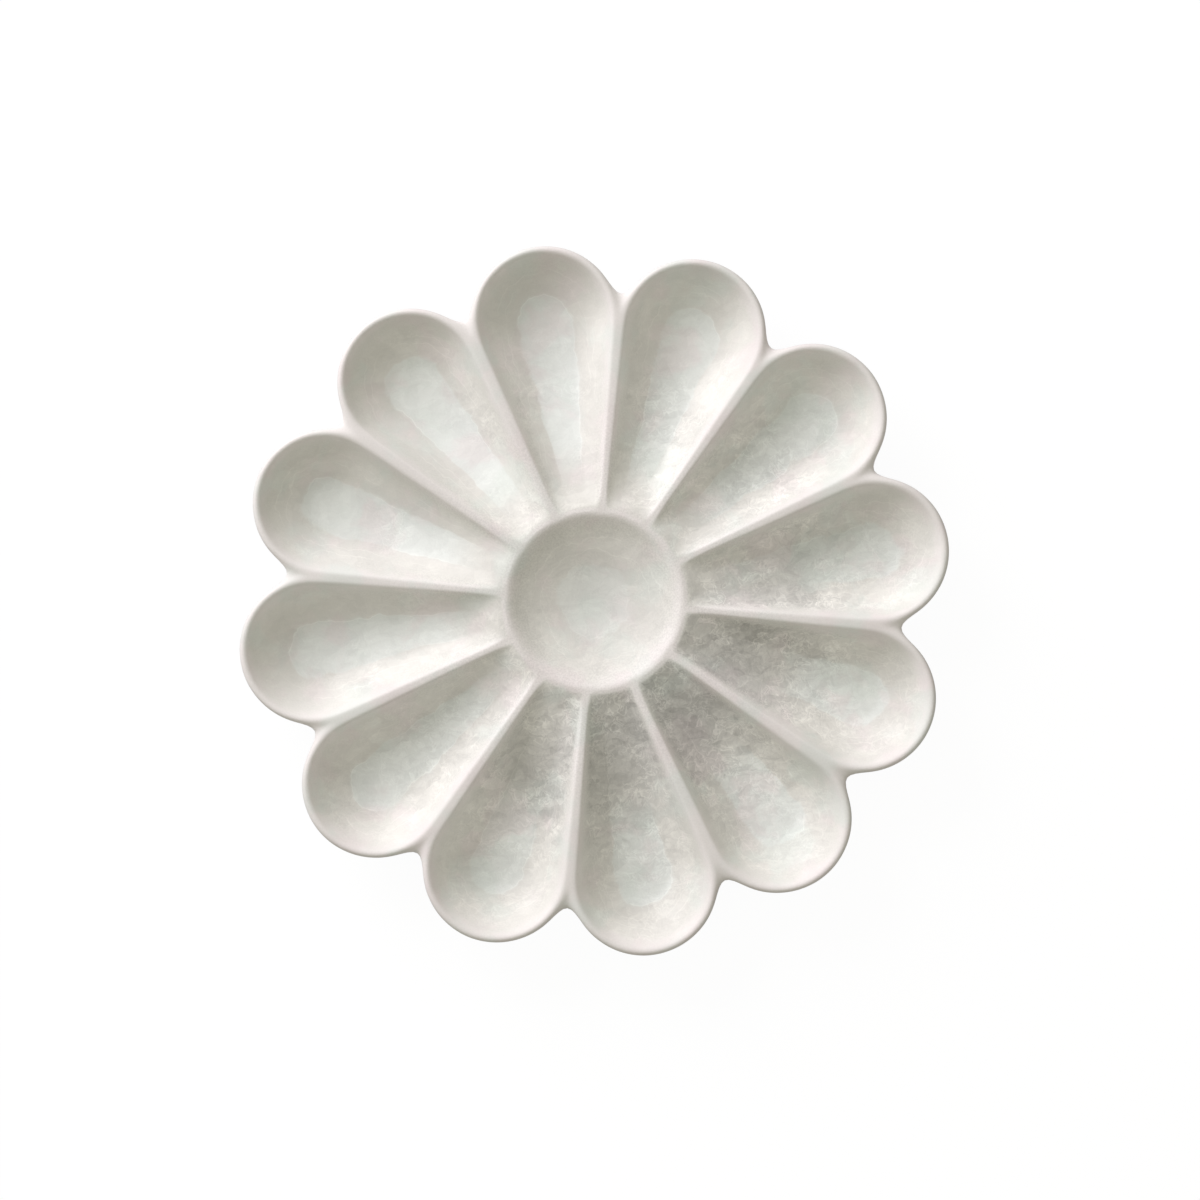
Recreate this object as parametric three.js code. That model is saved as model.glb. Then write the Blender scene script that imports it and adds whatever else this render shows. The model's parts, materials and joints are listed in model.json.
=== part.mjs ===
import * as THREE from 'three';

// Oyster platter: a stoneware flower with a deep spoon-shaped well in every petal and a round
// sauce well in the middle. The clay is one pressed piece, a foot ring is luted under it, and
// three coats of glaze lie on it: over the face, under the petals and inside the foot.
// Millimetres, +Z up. The origin is on the table, under the middle of the dish.

// Plan
const petalCount = 12;
const reach = 178; // middle of the dish to a petal's tip, on the clay
const rimWidth = 3.4; // lip of a petal well to the outer edge
const ridgeWidth = 6.6; // between the lips of two wells, where their round ends are nearest
const notchFillet = 5; // inside radius of the notch between two petals
const sauceRadius = 43; // lip of the sauce well
const ringWidth = 4; // crest between the sauce well and the petal wells

// Heights
const rimHeight = 32; // table to the petals' rim, on the clay
const ringHeight = 31.4; // table to the crest round the sauce well
const wellDepth = 20.5;
const sauceDepth = 15.5;
const edgeDrop = 1.6; // how far the rounded rim falls to the widest outline
const edgeRun = 2; // width of that rounding

// Clay
const floorWall = 6; // under the wells
const ridgeWall = 10; // under the ridges, where the back is smoothed
const edgeWall = 5.5; // at the outer edge
const edgeTuck = 0.9; // how far the outer edge leans in on its way down
const edgeBlendRun = 14; // plan length over which the edge thickens into a ridge
const petalBossInset = 1.4; // outer edge to the start of the swelling under a petal
const sauceBossGrowth = 3.6; // how much wider the swelling is than the sauce well

// Foot ring
const footPlaceShare = 0.615; // its place between the sauce well's ring and the petals' round ends
const footWidth = 9; // where it is luted to the back
const footLandWidth = 5.4; // where it stands on the table

// Glaze
const thinGlaze = 0.3; // on crests and on the back
const pooledGlaze = 1; // on the floors of the wells

// Profiles of wells, as shares of the way from lip to middle: where the rounded lip ends, where
// the wall begins to ease and where the flat floor begins
const wellProfileShares = [0.03, 0.2, 0.72];
const sauceProfileShares = [0.04, 0.12, 0.95];
const bossProfileShares = [0.3, 0.4, 0.7];
// How the floor of a petal well falls from the crest round the sauce well, as shares of the way to
// the middle of its round end: one part of the depth at an even fall, the rest at an easing one
const evenFallShares = [0.02, 0.62, 0.84];
const easingFallShares = [0.03, 0.03, 0.95];
const evenPartShare = 0.7;

// Fineness: corners lie on teardrops nested round each petal's axis, at these shares of the lip,
// and in rows at these shares of the way down a flute, which is the same as for the fall
const faceTeardropShares = [0, 0.4, 0.62, 0.9, 1];
const backTeardropShares = [0, 0.45, 0.75, 1];
const faceFluteShares = [0, 0.06, 0.32, 0.6, 0.78];
const backFluteShares = [0, 0.3];
const sauceRowShares = [0, 0.4, 0.66, 0.92, 1];
const crestShare = 0.55; // place of the rim's crest between the lip and the edge
const sauceStepsPerHalfPetal = 2;
const tipSteps = 4; // rows round a petal's end, from the notch to the tip
const weld = 0.001; // corners nearer than this are one

// Plan geometry that follows from the sizes
const halfPetal = Math.PI / petalCount;
const sinHalf = Math.sin(halfPetal);
const bulbRadius = (reach * sinHalf + rimWidth - ridgeWidth / 2) / (1 + sinHalf);
const bulbCentre = reach - bulbRadius;
const lipRadius = bulbRadius - rimWidth;
const ringRadius = sauceRadius + ringWidth;
const footRadius = radiusOnFlute(footPlaceShare);
const filletReach = Math.sqrt((bulbRadius + notchFillet) ** 2 - (bulbCentre * sinHalf) ** 2);
const filletCentre = bulbCentre * Math.cos(halfPetal) + filletReach;
const filletPoint = [filletCentre * Math.cos(halfPetal), filletCentre * sinHalf];
const filletAngle = Math.atan2(filletPoint[1], filletPoint[0] - bulbCentre);
const notchRadius = filletCentre - notchFillet;
const notchAngle = Math.atan2(
  notchRadius * sinHalf,
  notchRadius * Math.cos(halfPetal) - bulbCentre,
);

function mix(from, to, share) {
  return from + (to - from) * share;
}

function smooth(value) {
  const share = Math.min(Math.max(value, 0), 1);
  return share * share * (3 - 2 * share);
}

// A climb from 0 to 1 that steepens up to the first share, runs straight to the second and
// levels out at the third.
function climb(value, [bend, straight, level]) {
  const slope = 2 / (level + straight - bend);
  if (value <= 0) return 0;
  if (value < bend) return (slope * value * value) / (2 * bend);
  if (value < straight) return slope * (value - bend / 2);
  if (value < level) return 1 - (slope * (level - value) ** 2) / (2 * (level - straight));
  return 1;
}

// The teardrops round a petal's axis are two lines from the middle of the dish that run on into
// an arc round the middle of the petal's end. This gives the arc's radius at a point.
function teardropRadius(u, v) {
  const distance = Math.hypot(u, v);
  const onLines = distance * distance <= bulbCentre * u;
  return onLines ? (bulbCentre * v) / distance : Math.hypot(u - bulbCentre, v);
}

// Shortest way from a point of a half petal to the outline: to the round end, or near a notch to
// its fillet.
function edgeDistance(u, v) {
  const facesEnd = Math.atan2(v, u - bulbCentre) < filletAngle;
  return facesEnd
    ? bulbRadius - Math.hypot(u - bulbCentre, v)
    : Math.hypot(u - filletPoint[0], v - filletPoint[1]) - notchFillet;
}

// Distance from the middle of a petal's end to the boundary of its half petal, in a direction
// that is turned from the petal's axis: to the round end, the notch's fillet or the ridge.
function boundaryDistance(direction) {
  if (direction < filletAngle) return bulbRadius;
  if (direction > notchAngle) return (bulbCentre * sinHalf) / Math.sin(direction - halfPetal);
  const toFillet = [filletPoint[0] - bulbCentre, filletPoint[1]];
  const along = toFillet[0] * Math.cos(direction) + toFillet[1] * Math.sin(direction);
  const beside = toFillet[1] * Math.cos(direction) - toFillet[0] * Math.sin(direction);
  return along - Math.sqrt(Math.max(notchFillet ** 2 - beside ** 2, 0));
}

function crestHeight(radius) {
  const share = smooth((radius - ringRadius) / (bulbCentre - ringRadius));
  return mix(ringHeight, rimHeight, share);
}

// How deep a petal is hollowed at a distance from the middle of the dish, as a share
function fluteShare(radius) {
  const way = (radius - ringRadius) / (bulbCentre - ringRadius);
  return mix(climb(way, easingFallShares), climb(way, evenFallShares), evenPartShare);
}

function faceHeight(u, v) {
  const radius = Math.hypot(u, v);
  const inward = 1 - teardropRadius(u, v) / lipRadius;
  const hollow = wellDepth * fluteShare(radius) * climb(inward, wellProfileShares);
  const rounding = Math.max(1 - edgeDistance(u, v) / edgeRun, 0) ** 2;
  return crestHeight(radius) - hollow - edgeDrop * rounding;
}

function backHeight(u, v) {
  const radius = Math.hypot(u, v);
  const inward = 1 - teardropRadius(u, v) / (bulbRadius - petalBossInset);
  const swelling = wellDepth + floorWall - ridgeWall;
  const boss = swelling * fluteShare(radius) * climb(inward, bossProfileShares);
  const wall = mix(edgeWall, ridgeWall, smooth(edgeDistance(u, v) / edgeBlendRun));
  return crestHeight(radius) - wall - boss;
}

function sauceFaceHeight(radius) {
  return ringHeight - sauceDepth * climb(1 - radius / sauceRadius, sauceProfileShares);
}

function sauceBackHeight(radius) {
  const swelling = sauceDepth + floorWall - ridgeWall;
  const inward = 1 - radius / (sauceRadius + sauceBossGrowth);
  return ringHeight - ridgeWall - swelling * climb(inward, bossProfileShares);
}

// A row across the sauce well's half sector, as corners [u, v, z]
function sauceRow(radius, height) {
  const row = [];
  for (let step = 0; step <= sauceStepsPerHalfPetal; step += 1) {
    const angle = (halfPetal * step) / sauceStepsPerHalfPetal;
    row.push([radius * Math.cos(angle), radius * Math.sin(angle), height(radius)]);
  }
  return row;
}

function sauceRows(height) {
  return sauceRowShares.map((share) => sauceRow(share * sauceRadius, height));
}

// Angles at which the columns of a petal leave the middle of the dish, from its axis to a ridge
function columnAngles(teardropShares, hasCrest) {
  const angles = teardropShares.map((share) => Math.asin((share * lipRadius) / bulbCentre));
  if (hasCrest) angles.push(mix(angles.at(-1), halfPetal, crestShare));
  angles.push(halfPetal);
  return angles;
}

// A place on the way from the crest round the sauce well to the middle of a petal's end
function radiusOnFlute(share) {
  return mix(ringRadius, bulbCentre, share);
}

// Rows across a half petal's flute: on circles, then on the arc where the teardrops' lines meet
// their ends.
function fluteRows(angles, circles, height) {
  const radiiAt = (angle) => [...circles, bulbCentre * Math.cos(angle)];
  return [...circles, bulbCentre].map((_, row) =>
    angles.map((angle) => {
      const radius = radiiAt(angle)[row];
      const u = radius * Math.cos(angle);
      const v = radius * Math.sin(angle);
      return [u, v, height(u, v)];
    }),
  );
}

// Corner at a distance and direction from the middle of a petal's end
function bulbCorner(distance, direction, height) {
  const u = bulbCentre + distance * Math.cos(direction);
  const v = distance * Math.sin(direction);
  return [u, v, height(u, v)];
}

function outlineCorner(direction) {
  return bulbCorner(boundaryDistance(direction), direction, faceHeight);
}

// Lower corner of the outer edge, where the face's glaze meets the back's: square in from the
// outline, so towards the middle of a petal's end or away from the middle of a notch's fillet
function tuckedCorner(direction) {
  const [u, v] = outlineCorner(direction);
  const onEnd = direction < filletAngle;
  const [middleU, middleV] = onEnd ? [bulbCentre, 0] : filletPoint;
  const share = onEnd ? 1 - edgeTuck / bulbRadius : 1 + edgeTuck / notchFillet;
  const tuckedU = mix(middleU, u, share);
  const tuckedV = mix(middleV, v, share);
  return [tuckedU, tuckedV, crestHeight(Math.hypot(tuckedU, tuckedV)) - edgeWall];
}

// Rows round a petal's end: one at the notch, then evenly to the tip. Each runs from the middle
// of the end to its boundary.
function tipRows(angles, teardropShares, height, edgeCorner) {
  const rows = [];
  for (let step = 0; step <= tipSteps; step += 1) {
    const turn = (notchAngle / (Math.PI / 2 + halfPetal)) * (1 - step / tipSteps);
    const direction = notchAngle * (1 - step / tipSteps);
    const row = teardropShares.map((share, column) =>
      bulbCorner(share * lipRadius, turn * (Math.PI / 2 + angles[column]), height),
    );
    if (angles.length > teardropShares.length + 1) {
      const distance = mix(lipRadius, boundaryDistance(direction), crestShare);
      row.push(bulbCorner(distance, direction, height));
    }
    row.push(edgeCorner(direction));
    rows.push(row);
  }
  return rows;
}

// Triangles between two rows of corners, across the shorter diagonals. They face up where the
// rows run from axis to ridge and the second is the outer one.
function strip(inner, outer) {
  const length = (a, b) => Math.hypot(a[0] - b[0], a[1] - b[1], a[2] - b[2]);
  const triangles = [];
  let i = 0;
  let j = 0;
  while (i < inner.length - 1 || j < outer.length - 1) {
    const innerDone = i === inner.length - 1;
    const outerDone = j === outer.length - 1;
    const shorter =
      !innerDone && !outerDone && length(inner[i + 1], outer[j]) < length(inner[i], outer[j + 1]);
    if (outerDone || shorter) {
      triangles.push([inner[i], outer[j], inner[i + 1]]);
      i += 1;
    } else {
      triangles.push([inner[i], outer[j], outer[j + 1]]);
      j += 1;
    }
  }
  return triangles;
}

function strips(rows) {
  return rows.slice(1).flatMap((row, index) => strip(rows[index], row));
}

// Corners of the clay, each stored once, and the faces that are made on them
const corners = [];
const cornerIndex = new Map();

function indexOf(x, y, z) {
  const key = [x, y, z].map((value) => Math.round(value / weld)).join();
  if (!cornerIndex.has(key)) {
    cornerIndex.set(key, corners.length);
    corners.push(new THREE.Vector3(x, y, z));
  }
  return cornerIndex.get(key);
}

// Repeats the triangles of a half petal's sector all round the dish. Faces with two corners in
// one place are left out.
function allRound(triangles, facesDown = false) {
  const faces = [];
  for (let petal = 0; petal < petalCount; petal += 1) {
    const cos = Math.cos(2 * halfPetal * petal);
    const sin = Math.sin(2 * halfPetal * petal);
    for (const side of [1, -1]) {
      for (const triangle of triangles) {
        const face = triangle.map(([u, v, z]) =>
          indexOf(u * cos - side * v * sin, u * sin + side * v * cos, z),
        );
        if (new Set(face).size < 3) continue;
        faces.push((side < 0) === facesDown ? face : face.reverse());
      }
    }
  }
  return faces;
}

function makeFaceSheet() {
  const angles = columnAngles(faceTeardropShares, true);
  const tips = tipRows(angles, faceTeardropShares, faceHeight, outlineCorner);
  const outline = tips.map((row) => row.at(-1)).reverse();
  const tucked = tips.map((row, step) => tuckedCorner(notchAngle * (1 - step / tipSteps)));
  const flutes = fluteRows(angles, faceFluteShares.map(radiusOnFlute), faceHeight);
  return allRound([
    ...strips([...sauceRows(sauceFaceHeight), ...flutes, ...tips]),
    ...strip(outline, tucked.reverse()),
  ]);
}

// The back, in the three areas that the foot ring parts
function makeBackSheets() {
  const angles = columnAngles(backTeardropShares, false);
  const circles = [
    ...backFluteShares.map(radiusOnFlute),
    footRadius - footWidth / 2,
    footRadius + footWidth / 2,
  ];
  const flutes = fluteRows(angles, circles, backHeight);
  const [tangent, footOutside, footInside] = flutes.toReversed();
  const tips = tipRows(angles, backTeardropShares, backHeight, tuckedCorner);
  return {
    recess: allRound(strips([...sauceRows(sauceBackHeight), ...flutes.slice(0, -2)]), true),
    seat: allRound(strip(footInside, footOutside), true),
    petals: allRound(strips([footOutside, tangent, ...tips]), true),
  };
}

// A closed geometry from corners and faces
function geometryOf(points, faces) {
  const geometry = new THREE.BufferGeometry();
  geometry.setAttribute(
    'position',
    new THREE.Float32BufferAttribute(points.flatMap((point) => point.toArray()), 3),
  );
  geometry.setIndex(faces.flat());
  geometry.computeVertexNormals();
  return geometry;
}

// Edges that only one face has, each in that face's own direction
function openEdges(faces) {
  const edges = new Map();
  for (const face of faces) {
    face.forEach((from, index) => {
      const to = face[(index + 1) % 3];
      if (!edges.delete(`${to},${from}`)) edges.set(`${from},${to}`, [from, to]);
    });
  }
  return [...edges.values()];
}

// A layer on some faces of the clay: those faces turned over, the same faces moved out, and a
// band along their open edges. Two layers that meet at an edge split its band alike.
function layerOn(faces, outerPoint) {
  const used = [...new Set(faces.flat())];
  const place = new Map(used.map((corner, index) => [corner, index]));
  const points = [
    ...used.map((corner) => corners[corner]),
    ...used.map((corner) => outerPoint(corner)),
  ];
  const inner = (corner) => place.get(corner);
  const outer = (corner) => place.get(corner) + used.length;
  const layerFaces = [];
  for (const face of faces) {
    layerFaces.push([...face].reverse().map(inner), face.map(outer));
  }
  for (const [from, to] of openEdges(faces)) {
    if (from < to) {
      layerFaces.push([inner(from), inner(to), outer(to)], [inner(from), outer(to), outer(from)]);
    } else {
      layerFaces.push([inner(from), inner(to), outer(from)], [inner(to), outer(to), outer(from)]);
    }
  }
  return geometryOf(points, layerFaces);
}

const faceSheet = makeFaceSheet();
const backSheets = makeBackSheets();
const clayFaces = [faceSheet, ...Object.values(backSheets)].flat();

function makeStonewareBody() {
  return geometryOf(corners, clayFaces);
}

// The ring fills the flutes of the back and narrows to a flat land on the table.
function makeFootRing() {
  return layerOn(backSheets.seat, (corner) => {
    const { x, y } = corners[corner];
    const radius = Math.hypot(x, y);
    const landRadius = footRadius + ((radius - footRadius) * footLandWidth) / footWidth;
    return new THREE.Vector3((x * landRadius) / radius, (y * landRadius) / radius, 0);
  });
}

const clayNormals = makeStonewareBody().getAttribute('normal');

// The face's glaze is thin on crests and pools in the wells.
function faceGlazePoint(corner) {
  const point = corners[corner];
  const sunk = crestHeight(Math.hypot(point.x, point.y)) - point.z;
  const thickness = mix(thinGlaze, pooledGlaze, smooth(sunk / wellDepth));
  const normal = new THREE.Vector3().fromBufferAttribute(clayNormals, corner);
  return point.clone().addScaledVector(normal, thickness);
}

function makeTopGlaze() {
  return layerOn(faceSheet, faceGlazePoint);
}

const faceCorners = new Set(faceSheet.flat());

// The back's glaze hangs straight below the clay, and takes over the face's at the outer edge.
function backGlazePoint(corner) {
  if (faceCorners.has(corner)) return faceGlazePoint(corner);
  return corners[corner].clone().setZ(corners[corner].z - thinGlaze);
}

function makeUndersideGlaze() {
  return layerOn(backSheets.petals, backGlazePoint);
}

function makeFootRecessGlaze() {
  return layerOn(backSheets.recess, backGlazePoint);
}

function bareStoneware() {
  return new THREE.MeshStandardMaterial({ color: 0xc9bfae, roughness: 0.85, metalness: 0 });
}

function pooledWhiteGlaze() {
  return new THREE.MeshStandardMaterial({ color: 0xdedcd7, roughness: 0.25, metalness: 0 });
}

function plainWhiteGlaze() {
  return new THREE.MeshStandardMaterial({ color: 0xe4e0da, roughness: 0.35, metalness: 0 });
}

function addPiece(group, name, geometry, material) {
  const mesh = new THREE.Mesh(geometry, material);
  mesh.name = name;
  group.add(mesh);
}

const platter = new THREE.Group();
addPiece(platter, 'stoneware_body', makeStonewareBody(), bareStoneware());
addPiece(platter, 'foot_ring', makeFootRing(), bareStoneware());
addPiece(platter, 'top_glaze', makeTopGlaze(), pooledWhiteGlaze());
addPiece(platter, 'underside_glaze', makeUndersideGlaze(), plainWhiteGlaze());
addPiece(platter, 'foot_recess_glaze', makeFootRecessGlaze(), plainWhiteGlaze());

export default platter;
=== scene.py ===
import json
from math import asin, atan2, cos, hypot, pi, radians, sin, sqrt

import bmesh
import bpy
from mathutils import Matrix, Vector

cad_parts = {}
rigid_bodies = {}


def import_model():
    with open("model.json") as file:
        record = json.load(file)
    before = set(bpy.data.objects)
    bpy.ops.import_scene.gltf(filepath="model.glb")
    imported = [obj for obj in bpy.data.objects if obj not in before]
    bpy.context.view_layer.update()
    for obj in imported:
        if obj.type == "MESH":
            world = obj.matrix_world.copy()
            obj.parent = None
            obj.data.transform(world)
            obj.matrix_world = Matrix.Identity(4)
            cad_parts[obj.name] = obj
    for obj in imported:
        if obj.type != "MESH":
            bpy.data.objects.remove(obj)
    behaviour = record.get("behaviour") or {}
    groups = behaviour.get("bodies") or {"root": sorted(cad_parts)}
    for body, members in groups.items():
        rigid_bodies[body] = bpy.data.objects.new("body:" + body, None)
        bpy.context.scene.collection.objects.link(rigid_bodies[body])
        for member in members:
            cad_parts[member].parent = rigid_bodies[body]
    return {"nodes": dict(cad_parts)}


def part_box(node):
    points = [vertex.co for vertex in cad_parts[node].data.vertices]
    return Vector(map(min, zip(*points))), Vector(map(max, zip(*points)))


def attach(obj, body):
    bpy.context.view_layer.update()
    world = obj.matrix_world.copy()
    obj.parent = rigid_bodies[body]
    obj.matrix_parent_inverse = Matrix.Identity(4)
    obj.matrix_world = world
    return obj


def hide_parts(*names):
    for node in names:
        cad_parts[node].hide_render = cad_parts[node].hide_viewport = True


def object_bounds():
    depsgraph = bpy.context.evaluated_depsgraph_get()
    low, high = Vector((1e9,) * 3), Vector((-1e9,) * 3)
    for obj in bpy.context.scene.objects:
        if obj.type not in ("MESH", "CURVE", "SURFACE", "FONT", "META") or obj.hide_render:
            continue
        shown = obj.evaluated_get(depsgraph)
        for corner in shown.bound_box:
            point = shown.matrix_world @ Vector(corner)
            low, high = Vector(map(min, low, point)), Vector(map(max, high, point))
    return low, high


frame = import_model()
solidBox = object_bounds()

mm = 0.001
print("frame:", ", ".join(sorted(frame["nodes"])))


# small helpers

def lerp(a, b, share):
    return a + (b - a) * share


def smooth(value):
    share = min(max(value, 0), 1)
    return share * share * (3 - 2 * share)


def climb(value, bend, straight, level):  # 0 to 1: steepens, runs straight, levels out
    slope = 2 / (level + straight - bend)
    if value <= 0:
        return 0
    if value < bend:
        return slope * value * value / (2 * bend)
    if value < straight:
        return slope * (value - bend / 2)
    if value < level:
        return 1 - slope * (level - value) ** 2 / (2 * (level - straight))
    return 1


def deselectAll():
    if bpy.context.mode != "OBJECT":
        bpy.ops.object.mode_set(mode="OBJECT")
    bpy.ops.object.select_all(action="DESELECT")


def makeActive(obj):
    deselectAll()
    obj.select_set(True)
    bpy.context.view_layer.objects.active = obj


def toEditMode(obj):
    makeActive(obj)
    bpy.ops.object.mode_set(mode="EDIT")
    bpy.ops.mesh.select_mode(type="VERT")


def radiusOf(edge):                       # how far an edge's middle lies from the dish's
    middle = (edge.verts[0].co + edge.verts[1].co) / 2
    return hypot(middle.x, middle.y)


def selectEdges(obj, isWanted):
    bpy.ops.mesh.select_all(action="DESELECT")
    bpy.ops.mesh.select_mode(type="EDGE")
    mesh = bmesh.from_edit_mesh(obj.data)
    for edge in mesh.edges:
        edge.select = isWanted(edge)
    bmesh.update_edit_mesh(obj.data)


def applyModifier(obj, kind, **settings):
    makeActive(obj)
    modifier = obj.modifiers.new(kind.title(), kind)
    for name, value in settings.items():
        setattr(modifier, name, value)
    bpy.ops.object.modifier_apply(modifier=modifier.name)


# the camera looks straight down, a little turned, as in the picture

view = {
    "frameWidth": 595 * mm,      # what 1200 pixels take in at the rim's height
    "lens": 100,
    "turn": radians(-10),
    "middle": (-2.8 * mm, -0.4 * mm),   # how far the dish lies right of and above the frame's middle
    "farthest": 10,                     # that the camera sees
}


def addCamera():
    data = bpy.data.cameras.new("camera")
    data.lens = view["lens"]
    data.clip_end = view["farthest"]
    camera = bpy.data.objects.new("camera", data)
    bpy.context.scene.collection.objects.link(camera)
    right, up = view["middle"]
    turn = view["turn"]
    height = view["frameWidth"] * view["lens"] / data.sensor_width + solidBox[1][2]
    camera.location = (
        -right * cos(turn) + up * sin(turn),
        -right * sin(turn) - up * cos(turn),
        height,
    )
    camera.rotation_euler = (0, 0, turn)
    bpy.context.scene.camera = camera


addCamera()
print("camera placed")


# the dish's plan, shared by its pieces

dish = {
    "petals": 12,
    "reach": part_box("stoneware_body")[1][0],
    "rimHeight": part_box("stoneware_body")[1][2],
    "rimWidth": 3.4 * mm,         # lip of a petal well to the outer edge
    "ridgeWidth": 6.6 * mm,       # between the round ends of two wells
    "notchFillet": 5 * mm,
    "sauceRadius": 42.6 * mm,
    "ringWidth": 3 * mm,          # crest between the sauce well and the petal wells
    "ringHeight": 31.4 * mm,
    "wellDepth": 20.5 * mm,
    "sauceDepth": 15.5 * mm,
    "footWidth": 9 * mm,
    "floorWall": 6 * mm,
    "ridgeWall": 10 * mm,
    "edgeWall": 5.5 * mm,
    "edgeDrop": 1.6 * mm,
    "edgeRun": 14 * mm,           # over which the edge thickens into a ridge
    "sauceBossMargin": 3.6 * mm,  # by which the bosses on the back are wider than the wells
    "petalBossInset": 1.4 * mm,   # and narrower than the petals
    "bossClimb": (0.3, 0.4, 0.7),
    "smoothing": 2,               # levels of subdivision
    "weldDistance": 0.01 * mm,
}

halfPetal = pi / dish["petals"]
endRadius = (dish["reach"] * sin(halfPetal) + dish["rimWidth"] - dish["ridgeWidth"] / 2) / (
    1 + sin(halfPetal)
)
endCentre = dish["reach"] - endRadius
lipRadius = endRadius - dish["rimWidth"]
ringCrest = dish["sauceRadius"] + dish["ringWidth"] / 2
wellStart = dish["sauceRadius"] + dish["ringWidth"]
filletCentre = endCentre * cos(halfPetal) + sqrt(
    (endRadius + dish["notchFillet"]) ** 2 - (endCentre * sin(halfPetal)) ** 2
)
notchRadius = filletCentre - dish["notchFillet"]
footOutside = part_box("foot_ring")[1][0]
footInside = footOutside - dish["footWidth"]
footRadius = (footOutside + footInside) / 2


def teardropSize(radius, x, y):   # radius of the round end of the teardrop that runs through a place
    onLines = radius * radius <= endCentre * x
    return endCentre * abs(y) / radius if onLines else hypot(x - endCentre, y)


def crestHeight(radius):
    share = smooth((radius - wellStart) / (endCentre - wellStart))
    return lerp(dish["ringHeight"], dish["rimHeight"], share)


# how a petal well deepens from the hub on: parts of its depth, each with its own climb
falls = {
    "start": (0.14, (0.01, 0.01, 0.3)),
    "slope": (0.76, (0.02, 0.64, 0.8)),
    "ease": (0.1, (0.03, 0.03, 0.95)),
}


def fluteDepth(radius):
    way = (radius - wellStart) / (endCentre - wellStart)
    return dish["wellDepth"] * sum(part * climb(way, *shares) for part, shares in falls.values())


# one slice of the cage: a petal with its part of the ring, the sauce well and the back

petal = {
    "corners": 28,               # round a well's lip
    "arcCorners": 8,             # of them on the round end, each side of the tip
    "notchCorner": 6,            # the one that sits in the notch between two petals
    "lineShares": {9: 0.86, 10: 0.56, 11: 0.2},               # corners along the straight sides
    "hubTurns": {12: 0.98, 13: 0.55, 14: 0},                  # and across the end at the hub
    "hubRuns": {12: 1.2 * mm, 13: 0, 14: 0},
    "hubDepths": {12: 0.35, 13: 0.9, 14: 1},                  # how far they take the hub's depth
    "lineEnd": 0.24,             # where the lines end before the round end, in radii of the lip
    "crestShare": 0.5,
    "rimCrestShare": 0.68,
    "crestLift": 0.4 * mm,
    "ridgeLift": 0.15 * mm,
    "notchSink": 2.2 * mm,
}

# rows down a petal well: width in the flute and in the round end as shares of the lip's, how far
# the round end's middle lies in from the lip's, how far from the ring the row starts, and depth
# at the sides and at the hub as shares of the full one
wellRows = {
    "lip": (1, 1, 0, 0, 0.01, 0.01),
    "wallTop": (0.965, 0.965, 0, 1 * mm, 0.14, 0.42),
    "wallMiddle": (0.79, 0.8, 1.4 * mm, 3.4 * mm, 0.56, 0.86),
    "wallFoot": (0.45, 0.49, 4.8 * mm, 7 * mm, 0.895, 0.96),
    "floorEdge": (0.39, 0.42, 5.4 * mm, 9 * mm, 0.94, 0.98),
    "axis": (0, 0, 7 * mm, 19 * mm, 1, 1),
}

# rows down the sauce well: share of its radius and depth
sauceRows = [
    (1.005, 0.012), (0.965, 0.075), (0.85, 0.345), (0.68, 0.595), (0.48, 0.8), (0.26, 0.955), (0, 1),
]

# rows down the outer edge: in from the outline, and down from the crest
edgeRows = [(0.2 * mm, 3.5 * mm), (0.9 * mm, 5.2 * mm)]
backRimRow = (3.4 * mm, 6.2 * mm)
backShares = [0.17, 0.4, 0.65, 0.88, 1]       # rows from the outline to the foot
recessRadii = [88 * mm, 72 * mm, 57 * mm, 46 * mm, 36 * mm, 25 * mm, 12 * mm, 0]

step = 2 * pi / petal["corners"]
arcBow = 3 / (2 + cos(step))                  # subdivision draws a polygon in, so it starts wider
ringBow = 3 / (2 + cos(halfPetal / 2))
faceIndex, petalsIndex, seatIndex, recessIndex = range(4)


def wellCorner(row, k):
    flute, end, shift, run, depth, hubDepth = wellRows[row]
    side, k = (-1 if k < 0 else 1), abs(k)
    depth = lerp(depth, hubDepth, petal["hubDepths"].get(k, 0))
    lineAngle = asin(flute * lipRadius / endCentre)
    if k <= petal["arcCorners"]:
        x = endCentre - shift + end * lipRadius * arcBow * cos(k * step)
        y = end * lipRadius * arcBow * sin(k * step)
    else:
        start = wellStart + run
        if k in petal["lineShares"]:
            lineStart = start + petal["hubRuns"][12]
            lineEnd = endCentre - shift - lipRadius * petal["lineEnd"]
            radius = lerp(lineStart, lineEnd, petal["lineShares"][k])
            angle = lineAngle
        else:
            radius = start + petal["hubRuns"][k]
            angle = lineAngle * petal["hubTurns"][k]
        x, y = radius * cos(angle), radius * sin(angle)
    radius = hypot(x, y)
    return Vector((x, side * y, crestHeight(radius) - depth * fluteDepth(radius)))


def borderCorner(k):
    side, k = (-1 if k < 0 else 1), abs(k)
    if k < petal["notchCorner"]:
        x = endCentre + endRadius * arcBow * cos(k * step)
        y = endRadius * arcBow * sin(k * step)
        return Vector((x, side * y, crestHeight(hypot(x, y)) - dish["edgeDrop"]))
    if k == petal["notchCorner"]:
        radius, angle, lift = notchRadius - petal["notchSink"], halfPetal, -dish["edgeDrop"]
    elif k in petal["lineShares"] or k <= petal["arcCorners"]:
        lip = wellCorner("lip", k)
        radius, angle, lift = hypot(lip.x, lip.y), halfPetal, petal["ridgeLift"]
    else:
        radius, lift = ringCrest * ringBow, petal["ridgeLift"]
        angle = halfPetal * (petal["corners"] / 2 - k) / 2
    return Vector((radius * cos(angle), side * radius * sin(angle), crestHeight(radius) + lift))


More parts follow.
